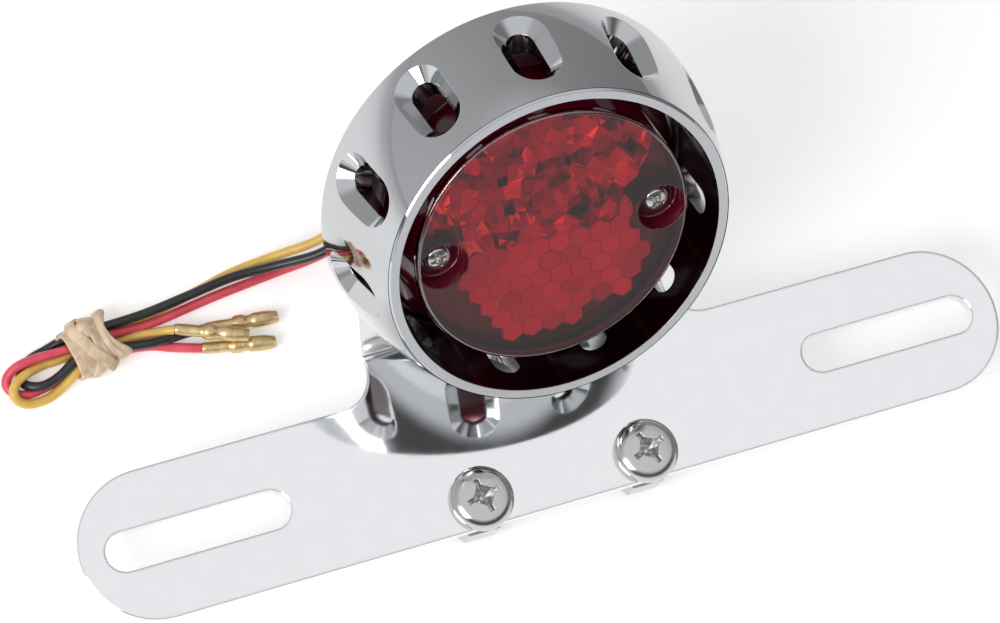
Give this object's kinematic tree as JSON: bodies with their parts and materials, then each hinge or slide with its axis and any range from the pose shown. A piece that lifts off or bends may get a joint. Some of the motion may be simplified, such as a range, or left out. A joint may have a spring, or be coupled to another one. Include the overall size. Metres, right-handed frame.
{
  "type": "tail light",
  "caption": "Round drilled tail light on a bent plate bracket with two slots, a faceted red lens, three leads in a rubber band and bullet connectors.",
  "frame": {"origin": "midway between the two plate slots, on the bracket's front face", "axes": "+Z out of the bracket's front face, +X along the bracket's bar, +Y towards the lamp"},
  "size_m": [0.1957, 0.0833, 0.0856],
  "materials": {
    "chrome": "polished",
    "screw_steel": "zinc plated, bright",
    "black_rubber": "matt",
    "black_plastic": "fine moulded",
    "red_lens": "clear red, faceted inside",
    "board_green": "lacquered",
    "led_red": "clear red",
    "resistor_tan": "lacquered",
    "solder": "bright",
    "yellow_sleeve": "satin insulation",
    "black_sleeve": "satin insulation",
    "red_sleeve": "satin insulation",
    "brass": "rolled, slightly dull",
    "band_rubber": "natural, satin"
  },
  "bodies": {
    "root": {"bracket": "chrome", "mount_pad": "black_rubber", "wire_grommet": "black_rubber", "lamp_base": "black_plastic", "housing": "chrome", "lens_gasket": "black_rubber", "lens": "red_lens", "lens_screws": "screw_steel", "circuit_board": "board_green", "board_screws": "screw_steel", "leds": "led_red", "resistors": "resistor_tan", "diode": "black_plastic", "solder_joints": "solder", "lead_tails": "black_sleeve", "base_screws": "screw_steel", "base_washers": "screw_steel", "base_nuts": "screw_steel", "bracket_screws": "screw_steel", "bracket_washers": "screw_steel", "bracket_lock_washers": "screw_steel", "bracket_nuts": "screw_steel", "yellow_lead": "yellow_sleeve", "black_lead": "black_sleeve", "red_lead": "red_sleeve", "yellow_bullet": "brass", "black_bullet": "brass", "red_bullet": "brass", "rubber_band": "band_rubber"}
  },
  "joints": []
}
